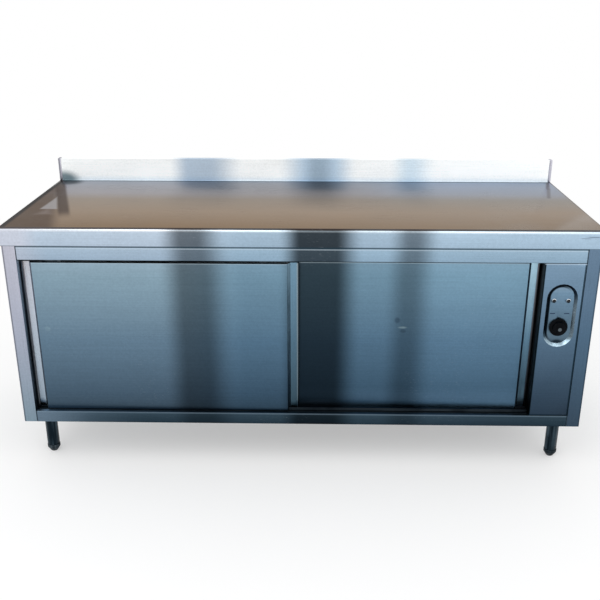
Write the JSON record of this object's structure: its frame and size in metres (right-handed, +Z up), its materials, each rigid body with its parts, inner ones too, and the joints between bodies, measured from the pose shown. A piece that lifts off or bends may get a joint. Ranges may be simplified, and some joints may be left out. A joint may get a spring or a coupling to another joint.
{
  "type": "heated work cabinet",
  "caption": "Stainless catering bench with a rear upstand over a heated cupboard with sliding doors and a thermostat panel on the right.",
  "frame": {"origin": "on the floor under the middle of the bench", "axes": "+X to the right seen from the front, +Y to the back, +Z up"},
  "size_m": [1.8, 0.7, 0.88],
  "materials": {
    "brushed_stainless": "satin",
    "worktop_stainless": "satin",
    "door_stainless": "satin",
    "inner_steel": "matte",
    "track_aluminium": "satin",
    "leg_stainless": "satin",
    "board_wood": "matte",
    "core_wool": "matte",
    "black_plastic": "gloss",
    "lamp_plastic": "gloss",
    "white_nylon": "satin",
    "stop_rubber": "matte",
    "ceramic_body": "matte",
    "copper_tube": "polished",
    "wire_insulation": "matte"
  },
  "bodies": {
    "cabinet": {"worktop": "worktop_stainless", "worktop_board": "board_wood", "upstand_end_left": "brushed_stainless", "upstand_end_right": "brushed_stainless", "front_post_left": "brushed_stainless", "front_post_right": "brushed_stainless", "back_post_left": "brushed_stainless", "back_post_right": "brushed_stainless", "top_front_rail": "brushed_stainless", "bottom_front_rail": "brushed_stainless", "top_back_rail": "brushed_stainless", "bottom_back_rail": "brushed_stainless", "base_channel_left": "inner_steel", "base_channel_right": "inner_steel", "side_panel_left": "brushed_stainless", "side_panel_right": "brushed_stainless", "back_panel": "brushed_stainless", "cabinet_floor": "inner_steel", "partition": "inner_steel", "mid_shelf": "inner_steel", "shelf_bracket_left": "inner_steel", "shelf_bracket_right": "inner_steel", "top_track": "track_aluminium", "bottom_guide": "track_aluminium", "track_stop_front": "stop_rubber", "track_stop_rear": "stop_rubber", "control_panel": "brushed_stainless", "thermostat_body": "ceramic_body", "pilot_lamp_left": "lamp_plastic", "pilot_lamp_right": "lamp_plastic", "terminal_block": "ceramic_body", "wiring_loom": "wire_insulation", "thermostat_sensor": "copper_tube", "cable_gland": "black_plastic", "heating_element": "inner_steel", "heater_guard": "inner_steel", "leg_front_left": "leg_stainless", "leg_front_right": "leg_stainless", "leg_back_left": "leg_stainless", "leg_back_right": "leg_stainless"},
    "left_door": {"left_door_front": "door_stainless", "left_door_back": "inner_steel", "left_door_core": "core_wool", "left_door_hanger_left": "inner_steel", "left_door_hanger_right": "inner_steel"},
    "left_door_roller_left": {"left_door_roller_left": "white_nylon"},
    "left_door_roller_right": {"left_door_roller_right": "white_nylon"},
    "right_door": {"right_door_front": "door_stainless", "right_door_back": "inner_steel", "right_door_core": "core_wool", "right_door_hanger_left": "inner_steel", "right_door_hanger_right": "inner_steel"},
    "right_door_roller_left": {"right_door_roller_left": "white_nylon"},
    "right_door_roller_right": {"right_door_roller_right": "white_nylon"},
    "thermostat_knob": {"thermostat_knob": "black_plastic", "thermostat_shaft": "inner_steel"},
    "foot_front_left": {"foot_front_left": "leg_stainless"},
    "foot_front_right": {"foot_front_right": "leg_stainless"},
    "foot_back_left": {"foot_back_left": "leg_stainless"},
    "foot_back_right": {"foot_back_right": "leg_stainless"}
  },
  "joints": [
    {"name": "left_door_slide", "type": "slide", "parent": "cabinet", "child": "left_door", "axis": [1, 0, 0], "range_m": [0, 0.736]},
    {"name": "left_door_roller_left_spin", "type": "hinge", "parent": "left_door", "child": "left_door_roller_left", "pos_m": [-0.757, -0.3195, 0.7179], "axis": [0, 1, 0], "range_deg": [0, 4218]},
    {"name": "left_door_roller_right_spin", "type": "hinge", "parent": "left_door", "child": "left_door_roller_right", "pos_m": [-0.104, -0.3195, 0.7179], "axis": [0, 1, 0], "range_deg": [0, 4218]},
    {"name": "right_door_slide", "type": "slide", "parent": "cabinet", "child": "right_door", "axis": [1, 0, 0], "range_m": [-0.736, 0]},
    {"name": "right_door_roller_left_spin", "type": "hinge", "parent": "right_door", "child": "right_door_roller_left", "pos_m": [-0.021, -0.2965, 0.7179], "axis": [0, 1, 0], "range_deg": [-4218, 0]},
    {"name": "right_door_roller_right_spin", "type": "hinge", "parent": "right_door", "child": "right_door_roller_right", "pos_m": [0.632, -0.2965, 0.7179], "axis": [0, 1, 0], "range_deg": [-4218, 0]},
    {"name": "thermostat_knob_turn", "type": "hinge", "parent": "cabinet", "child": "thermostat_knob", "pos_m": [0.7957, -0.3412, 0.4909], "axis": [0, 1, 0], "range_deg": [0, 270]},
    {"name": "foot_front_left_screw", "type": "slide", "parent": "cabinet", "child": "foot_front_left", "axis": [0, 0, -1], "range_m": [0, 0.02]},
    {"name": "foot_front_right_screw", "type": "slide", "parent": "cabinet", "child": "foot_front_right", "axis": [0, 0, -1], "range_m": [0, 0.02]},
    {"name": "foot_back_left_screw", "type": "slide", "parent": "cabinet", "child": "foot_back_left", "axis": [0, 0, -1], "range_m": [0, 0.02]},
    {"name": "foot_back_right_screw", "type": "slide", "parent": "cabinet", "child": "foot_back_right", "axis": [0, 0, -1], "range_m": [0, 0.02]}
  ],
  "couplings": [
    {"joint": "left_door_roller_left_spin", "follows": "left_door_slide", "rad_per_m": 100},
    {"joint": "left_door_roller_right_spin", "follows": "left_door_slide", "rad_per_m": 100},
    {"joint": "right_door_roller_left_spin", "follows": "right_door_slide", "rad_per_m": 100},
    {"joint": "right_door_roller_right_spin", "follows": "right_door_slide", "rad_per_m": 100}
  ]
}
